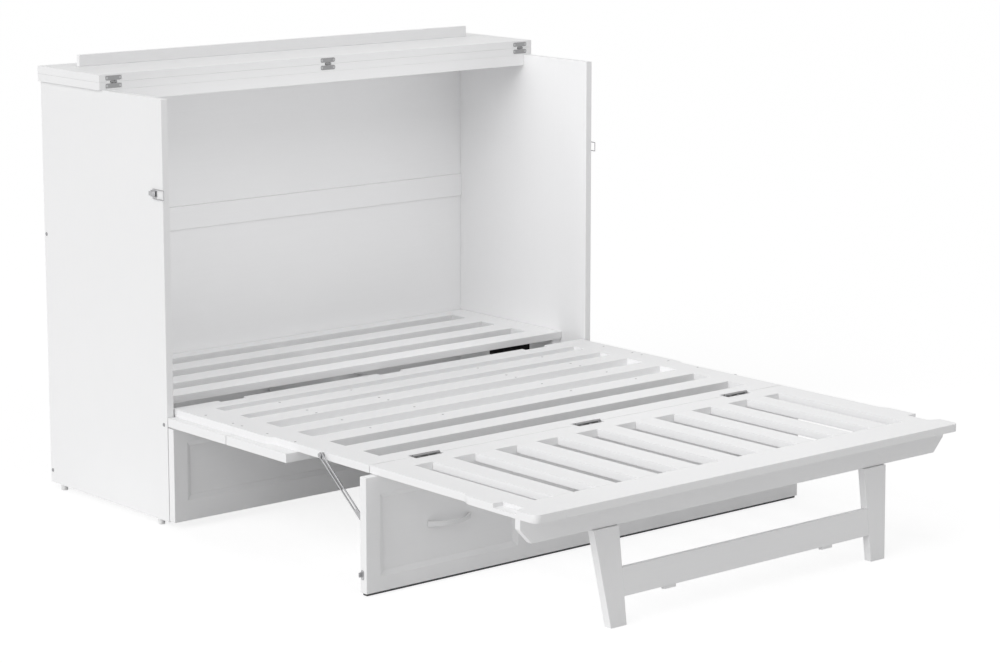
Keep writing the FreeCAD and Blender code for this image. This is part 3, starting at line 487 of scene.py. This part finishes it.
class MetalSettings(bpy.types.PropertyGroup):
    """Hinges, stays, latches and screws."""

    colour: FloatVectorProperty(
        name="Zinc", description="Colour of the plated steel", subtype="COLOR",
        default=(0.48, 0.48, 0.49), min=0.0, max=1.0,
    )
    # On the seat deck's screws this darker steel is painted shade: it darkens them as the
    # shade of the holes they sit in.
    hinge_colour: FloatVectorProperty(
        name="Hinge steel", description="Colour of hinge plates and deck screws",
        subtype="COLOR", default=(0.33, 0.33, 0.335), min=0.0, max=1.0,
    )
    roughness: FloatProperty(
        name="Roughness", description="Roughness of the plated steel", default=0.36,
        min=0.0, max=1.0,
    )
    edge: FloatProperty(
        name="Eased edge", description="Radius of the edges of pressed plates",
        default=0.0003, unit="LENGTH",
    )


class PullSettings(bpy.types.PropertyGroup):
    """The bow pulls on the false drawer fronts."""

    colour: FloatVectorProperty(
        name="Enamel", description="Colour of the pulls", subtype="COLOR",
        default=(0.74, 0.74, 0.745), min=0.0, max=1.0,
    )
    length: FloatProperty(
        name="Length", description="Length of a pull", default=0.132, unit="LENGTH",
    )
    projection: FloatProperty(
        name="Projection", description="How far a pull stands out of its recess",
        default=0.0278, unit="LENGTH",
    )


class PlasticSettings(bpy.types.PropertyGroup):
    """Glides, bolt caps, floor strip and charging unit."""

    glide: FloatVectorProperty(
        name="Glides", description="Colour of the floor glides", subtype="COLOR",
        default=(0.80, 0.80, 0.80), min=0.0, max=1.0,
    )
    cap: FloatVectorProperty(
        name="Caps", description="Colour of the bolt caps", subtype="COLOR",
        default=(0.34, 0.34, 0.35), min=0.0, max=1.0,
    )
    strip: FloatVectorProperty(
        name="Strip", description="Colour of the protective strip", subtype="COLOR",
        default=(0.055, 0.055, 0.057), min=0.0, max=1.0,
    )
    charger: FloatVectorProperty(
        name="Charging unit", description="Colour of the charging unit", subtype="COLOR",
        default=(0.004, 0.004, 0.0045), min=0.0, max=1.0,
    )


class StageSettings(bpy.types.PropertyGroup):
    """Floor, light and camera."""

    sky: FloatProperty(
        name="Sky", description="Strength of the soft light from all round", default=0.435,
    )
    key: FloatProperty(
        name="Key", description="Strength of the soft sun from the left", default=1.57,
    )
    over: FloatProperty(
        name="Over", description="Power of the lamp over the bed", default=13.0,
        unit="POWER",
    )
    room: FloatProperty(
        name="Room", description="Power of the lamp that fills the cabinet", default=0.97,
        unit="POWER",
    )
    place: FloatVectorProperty(
        name="Camera", description="Place of the camera", subtype="TRANSLATION",
        default=(-4.69143, -5.56081, 1.90783), unit="LENGTH",
    )
    yaw: FloatProperty(
        name="Yaw", description="Turn of the camera from +Y towards +X", default=0.7042,
        unit="ROTATION",
    )
    pitch: FloatProperty(
        name="Pitch", description="How far the camera looks down", default=0.1736,
        unit="ROTATION",
    )
    focal_pixels: FloatProperty(
        name="Focal length", description="Focal length in pixels of a 1000 pixel frame",
        default=2908.33,
    )
    shift: FloatProperty(
        name="Shift", description="Vertical shift of the lens", default=-0.06,
    )
    floor_size: FloatProperty(
        name="Floor", description="Size of the floor", default=60.0, unit="LENGTH",
    )
    sun_angle: FloatProperty(
        name="Softness", description="Angle of the soft sun", default=0.9, unit="ROTATION",
    )


class CabinetBedSettings(bpy.types.PropertyGroup):
    """Everything a user would change."""

    board: PointerProperty(type=BoardSettings)
    metal: PointerProperty(type=MetalSettings)
    pull: PointerProperty(type=PullSettings)
    plastic: PointerProperty(type=PlasticSettings)
    stage: PointerProperty(type=StageSettings)


# ------------------------------------------------------------------ operators


class CABINETBED_OT_boards(bpy.types.Operator):
    """Paints the boards and eases the edges of the decks"""

    bl_idname = "cabinet_bed.boards"
    bl_label = "Boards"

    def execute(self, context):
        s = context.scene.cabinet_bed.board
        for axis, names in enumerate((GRAIN_X, GRAIN_Y, GRAIN_Z)):
            paint = painted(
                "white_paint_" + "xyz"[axis], "white_board", s.colour, s.roughness, axis,
                s.grain_depth,
            )
            finish_nodes(names, paint)
        back = painted("back_panel_paint", "back_board", s.colour, s.roughness + 0.08, 0,
                       s.grain_depth)
        finish_nodes(("back_panels",), back)
        ease_edges(SHARP, s.edge)
        return {"FINISHED"}


class CABINETBED_OT_steel(bpy.types.Operator):
    """Finishes hinges, stays, latches and their screws"""

    bl_idname = "cabinet_bed.steel"
    bl_label = "Steel parts"

    def execute(self, context):
        s = context.scene.cabinet_bed.metal
        steel = zinc_steel("zinc_steel", "satin_metal", s.colour, s.roughness)
        finish_nodes(STEEL, steel)
        hinge_and_hole_shade_steel = zinc_steel("hinge_steel_with_hole_shade", "satin_metal", s.hinge_colour, s.roughness)
        finish_nodes(HINGES, hinge_and_hole_shade_steel)
        ease_edges(STEEL_SHARP, s.edge)
        bush = zinc_steel("bush_steel", "satin_metal", shade(s.colour, 0.8)[:3], 0.42)
        finish_nodes(("stay_bush_left", "stay_bush_right"), bush)
        self.hinge_screws(steel)
        # The deck screws take the darker hinge steel as painted shade of the holes they sit
        # in.
        self.deck_screws(hinge_and_hole_shade_steel)
        return {"FINISHED"}

    def hinge_screws(self, steel):
        """Heads on the hinge leaves and the keepers, a piece for each moving body."""
        lid_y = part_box("lid_hinge_lower")[0][1] + 0.0026
        for name, board, body in (
            ("lid_hinge_screws_lower", "lid_rear_board", "cabinet"),
            ("lid_hinge_screws_upper", "lid_front_board", "lid"),
        ):
            z = (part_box(board)[0][2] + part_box(board)[1][2]) / 2
            heads = [screw_head((x + e, lid_y, z), FRONT, *LID_HEAD)
                     for x in LID_HINGE_X for e in LID_SCREW_X]
            add_piece(name, heads, steel, body)
        seam_y = (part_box("foot_end_rails")[1][1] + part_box("seat_end_rails")[0][1]) / 2
        leaf_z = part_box("seam_hinge_seat")[0][2] + 0.0048
        for name, offset, body in (
            ("seam_hinge_screws_seat", 0.0105, "seat_deck"),
            ("seam_hinge_screws_foot", -0.0105, "foot_deck"),
        ):
            heads = [screw_head((x + e, seam_y + offset, leaf_z), UP, *LEAF_HEAD)
                     for x in SEAM_HINGE_X for e in SEAM_SCREW_X]
            add_piece(name, heads, steel, body)
        back_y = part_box("front_row_1")[1][1]
        panel_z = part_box("panel_hinge_front")[0][2] + 0.010
        heads = [screw_head((x + e, back_y, panel_z), REAR, *LEAF_HEAD)
                 for x in PANEL_HINGE_X for e in PANEL_SCREW_X]
        add_piece("panel_hinge_screws", heads, steel, "hanging_front")
        beam_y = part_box("foot_beam")[1][1] + 0.002
        beam_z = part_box("foot_beam")[0][2] + 0.021
        heads = [screw_head((x + e, beam_y, beam_z), REAR, *LEAF_HEAD)
                 for x in LEG_HINGE_X for e in LEG_SCREW_X]
        add_piece("leg_hinge_screws", heads, steel, "foot_deck")
        low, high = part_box("keepers")
        heads = [screw_head((x, low[1] + 0.0055, z), side, *KEEPER_HEAD)
                 for x, side in ((low[0] + 0.0065, LEFT), (high[0] - 0.0065, RIGHT))
                 for z in (low[2] + 0.0035, high[2] - 0.0035)]
        add_piece("keeper_screws", heads, steel, "hanging_front")

    def deck_screws(self, steel):
        """A cross-recessed head over each screw of the seat deck, just below its top, in the
        darker steel that paints the shade of its hole onto it.

        The places come from the screws of the frame: in each column, points of their
        tops that lie more than 10 mm apart belong to different screws."""
        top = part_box("seat_screws")[1][2]
        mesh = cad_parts["seat_screws"].data
        points = np.empty(len(mesh.vertices) * 3, np.float32)
        mesh.vertices.foreach_get("co", points)
        points = points.reshape(-1, 3)
        rims = np.unique(np.round(points[points[:, 2] > top - 0.0001, :2], 4), axis=0)
        heads = []
        for x in DECK_SCREW_X:
            ys = np.sort(rims[np.abs(rims[:, 0] - x) < 0.005, 1])
            for rim in np.split(ys, np.where(np.diff(ys) > 0.01)[0] + 1):
                y = (rim.min() + rim.max()) / 2
                heads.append(screw_head((x, y, top - 0.0001), UP, *DECK_HEAD))
        add_piece("seat_screw_heads", heads, steel, "seat_deck")
        finish_nodes(("seat_screws",), steel)


class CABINETBED_OT_pulls(bpy.types.Operator):
    """Makes the bow pulls of the false drawer fronts"""

    bl_idname = "cabinet_bed.pulls"
    bl_label = "Pulls"

    def execute(self, context):
        s = context.scene.cabinet_bed.pull
        coat = enamel("pull_enamel", "white_pull", s.colour, 0.32)
        for node, count, body in (
            ("lower_front_pulls", 2, "cabinet"),
            ("panel_pulls", 3, "hanging_front"),
        ):
            low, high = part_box(node)
            y, z = high[1], (low[2] + high[2]) / 2
            ends = low[0] + PLAIN_PULL_HALF_WIDTH, high[0] - PLAIN_PULL_HALF_WIDTH
            pulls = [bow_pull((x, y, z), FRONT, UP, s.length, s.projection)
                     for x in np.linspace(*ends, count)]
            piece = add_piece(node + "_bow", pulls, coat, body)
            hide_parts(node)
        low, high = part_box("seat_pulls")
        pulls = [bow_pull((x, y, high[2]), DOWN, REAR, s.length, s.projection)
                 for x in (low[0] + PLAIN_PULL_HALF_WIDTH, high[0] - PLAIN_PULL_HALF_WIDTH)
                 for y in (low[1] + PLAIN_PULL_HALF_HEIGHT, high[1] - PLAIN_PULL_HALF_HEIGHT)]
        piece = add_piece("seat_pulls_bow", pulls, coat, "seat_deck")
        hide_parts("seat_pulls")
        return {"FINISHED"}


class CABINETBED_OT_plastics(bpy.types.Operator):
    """Finishes glides, bolt caps, the floor strip and the charging unit"""

    bl_idname = "cabinet_bed.plastics"
    bl_label = "Plastic parts"

    def execute(self, context):
        s = context.scene.cabinet_bed.plastic
        for node, name, slot, colour, roughness, scale, depth, specular in (
            ("glides", "glide_plastic", "glide_plastic", s.glide, 0.5, 1500.0, 0.00004, 0.5),
            ("floor_strip", "strip_rubber", "dark_strip", s.strip, 0.7, 1200.0, 0.00006, 0.5),
            ("charging_unit", "black_plastic", "black_plastic", s.charger, 0.6, 1500.0,
             0.00004, 0.1),
        ):
            finish_nodes((node,), moulded(name, slot, colour, roughness, scale, depth,
                                          specular))
        plastic = moulded("cap_plastic", "cap", s.cap, 0.5, 1500.0, 0.00003)
        low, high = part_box("bolt_caps")
        rear_y, front_y = high[1] - CAP_RADIUS, low[1] + CAP_RADIUS
        rail, lower_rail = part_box("back_rail"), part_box("bottom_rear_rail")
        spots = (
            (rear_y, (rail[0][2] + rail[1][2]) / 2),
            (rear_y, (lower_rail[0][2] + lower_rail[1][2]) / 2),
            (front_y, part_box("front_stretcher")[1][2] - 0.012),
        )
        side_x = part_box("side_panel_left")[0][0]
        caps = [domed_cap((x, y, z), side, CAP_RADIUS, CAP_HEIGHT)
                for y, z in spots for x, side in ((side_x, LEFT), (-side_x, RIGHT))]
        piece = add_piece("bolt_caps_domed", caps, plastic, "cabinet")
        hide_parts("bolt_caps")
        return {"FINISHED"}


class CABINETBED_OT_stage(bpy.types.Operator):
    """Lays the floor, sets the light and puts up the camera"""

    bl_idname = "cabinet_bed.stage"
    bl_label = "Stage"

    def execute(self, context):
        s = context.scene.cabinet_bed.stage
        self.floor(s)
        self.world(s)
        self.sun("key", s.key, (-0.80, -0.05, 0.41), s.sun_angle)
        self.lamp("over", s.over, place=(0.0, -0.8, 2.3), tilt=0.0, size=(1.6, 1.6))
        # Behind the front when it is closed, so that it never shines on it.
        self.lamp("room", s.room, place=(-0.10, 0.48, 0.69), tilt=math.radians(84),
                  size=(1.15, 0.72))
        self.camera(context.scene, s)
        context.scene.view_settings.view_transform = "Standard"
        return {"FINISHED"}

    def floor(self, s):
        """A matte floor. The camera sees it white, with the bed's shadow."""
        half = s.floor_size / 2
        mesh = bpy.data.meshes.new("floor")
        corners = [(-half, -half, 0), (half, -half, 0), (half, half, 0), (-half, half, 0)]
        mesh.from_pydata(corners, [], [(0, 1, 2, 3)])
        floor = bpy.data.objects.new("floor", mesh)
        bpy.context.scene.collection.objects.link(floor)
        material = bpy.data.materials.new("floor_white")
        material.use_nodes = True
        g = Graph(material.node_tree)
        g.tree.nodes.clear()
        matte = g.node("ShaderNodeBsdfDiffuse", {}, {"Color": FLOOR_MATTE})
        shadow = g.node("ShaderNodeBsdfDiffuse", {}, {"Color": FLOOR_SEEN})
        glow = g.node("ShaderNodeEmission", {}, {"Strength": FLOOR_GLOW})
        seen = g.node("ShaderNodeAddShader", {}, {0: shadow.outputs[0], 1: glow.outputs[0]})
        mix = g.node(
            "ShaderNodeMixShader",
            {},
            {0: g.seen_directly(), 1: matte.outputs[0], 2: seen.outputs[0]},
        )
        g.node("ShaderNodeOutputMaterial", {}, {"Surface": mix.outputs[0]})
        mesh.materials.append(material)

    def world(self, s):
        """Even white light from all round, behind a background that is seen pure white."""
        world = bpy.data.worlds.new("studio")
        bpy.context.scene.world = world
        world.use_nodes = True
        g = Graph(world.node_tree)
        g.tree.nodes.clear()
        light = g.node("ShaderNodeBackground", {}, {"Color": WHITE, "Strength": s.sky})
        seen = g.node("ShaderNodeBackground", {}, {"Color": WHITE, "Strength": 1.0})
        mix = g.node(
            "ShaderNodeMixShader",
            {},
            {0: g.seen_directly(), 1: light.outputs[0], 2: seen.outputs[0]},
        )
        g.node("ShaderNodeOutputWorld", {}, {"Surface": mix.outputs[0]})

    def sun(self, name, strength, towards, angle):
        """A soft sun that stands in the direction towards, and shines from there."""
        lamp = bpy.data.lights.new(name, "SUN")
        lamp.energy = strength
        lamp.angle = angle
        sun = bpy.data.objects.new(name, lamp)
        bpy.context.scene.collection.objects.link(sun)
        x, y, z = towards
        sun.rotation_euler = (math.atan2(math.hypot(x, y), z), 0.0, math.atan2(x, -y))

    def lamp(self, name, power, place, tilt, size):
        """A wide lamp. Its tilt turns it from looking down to looking to the rear.

        It isn't seen itself, nor in reflections."""
        lamp = bpy.data.lights.new(name, "AREA")
        lamp.energy = power
        lamp.shape = "RECTANGLE"
        lamp.size, lamp.size_y = size
        holder = bpy.data.objects.new(name, lamp)
        bpy.context.scene.collection.objects.link(holder)
        holder.location = place
        holder.rotation_euler = (tilt, 0.0, 0.0)
        holder.visible_camera = False
        holder.visible_glossy = False

    def camera(self, scene, s):
        """The camera of the photograph, whose focal length is known in pixels."""
        data = bpy.data.cameras.new("camera")
        data.sensor_width = SENSOR_WIDTH
        data.lens = SENSOR_WIDTH * s.focal_pixels / FRAME_PIXELS
        data.shift_y = s.shift
        data.clip_end = 200.0
        camera = bpy.data.objects.new("camera", data)
        camera.location = s.place
        camera.rotation_euler = (math.pi / 2 - s.pitch, 0.0, -s.yaw)
        scene.collection.objects.link(camera)
        scene.camera = camera


class CABINETBED_PT_panel(bpy.types.Panel):
    """Lists the steps that finish the bed"""

    bl_idname = "CABINETBED_PT_panel"
    bl_label = "Cabinet bed"
    bl_space_type = "VIEW_3D"
    bl_region_type = "UI"
    bl_category = "Cabinet bed"

    def draw(self, context):
        settings = context.scene.cabinet_bed
        for group, operator in STEPS:
            box = self.layout.box()
            box.operator(operator.bl_idname)
            values = getattr(settings, group)
            for name in values.__annotations__:
                box.prop(values, name)


STEPS = (
    ("board", CABINETBED_OT_boards),
    ("metal", CABINETBED_OT_steel),
    ("pull", CABINETBED_OT_pulls),
    ("plastic", CABINETBED_OT_plastics),
    ("stage", CABINETBED_OT_stage),
)
CLASSES = (
    BoardSettings, MetalSettings, PullSettings, PlasticSettings, StageSettings,
    CabinetBedSettings,
) + tuple(operator for _, operator in STEPS) + (CABINETBED_PT_panel,)


def register():
    for item in CLASSES:
        bpy.utils.register_class(item)
    bpy.types.Scene.cabinet_bed = PointerProperty(type=CabinetBedSettings)


def unregister():
    del bpy.types.Scene.cabinet_bed
    for item in reversed(CLASSES):
        bpy.utils.unregister_class(item)


def main():
    register()
    bpy.ops.cabinet_bed.boards()
    bpy.ops.cabinet_bed.steel()
    bpy.ops.cabinet_bed.pulls()
    bpy.ops.cabinet_bed.plastics()
    bpy.ops.cabinet_bed.stage()


if __name__ == "__main__":
    main()
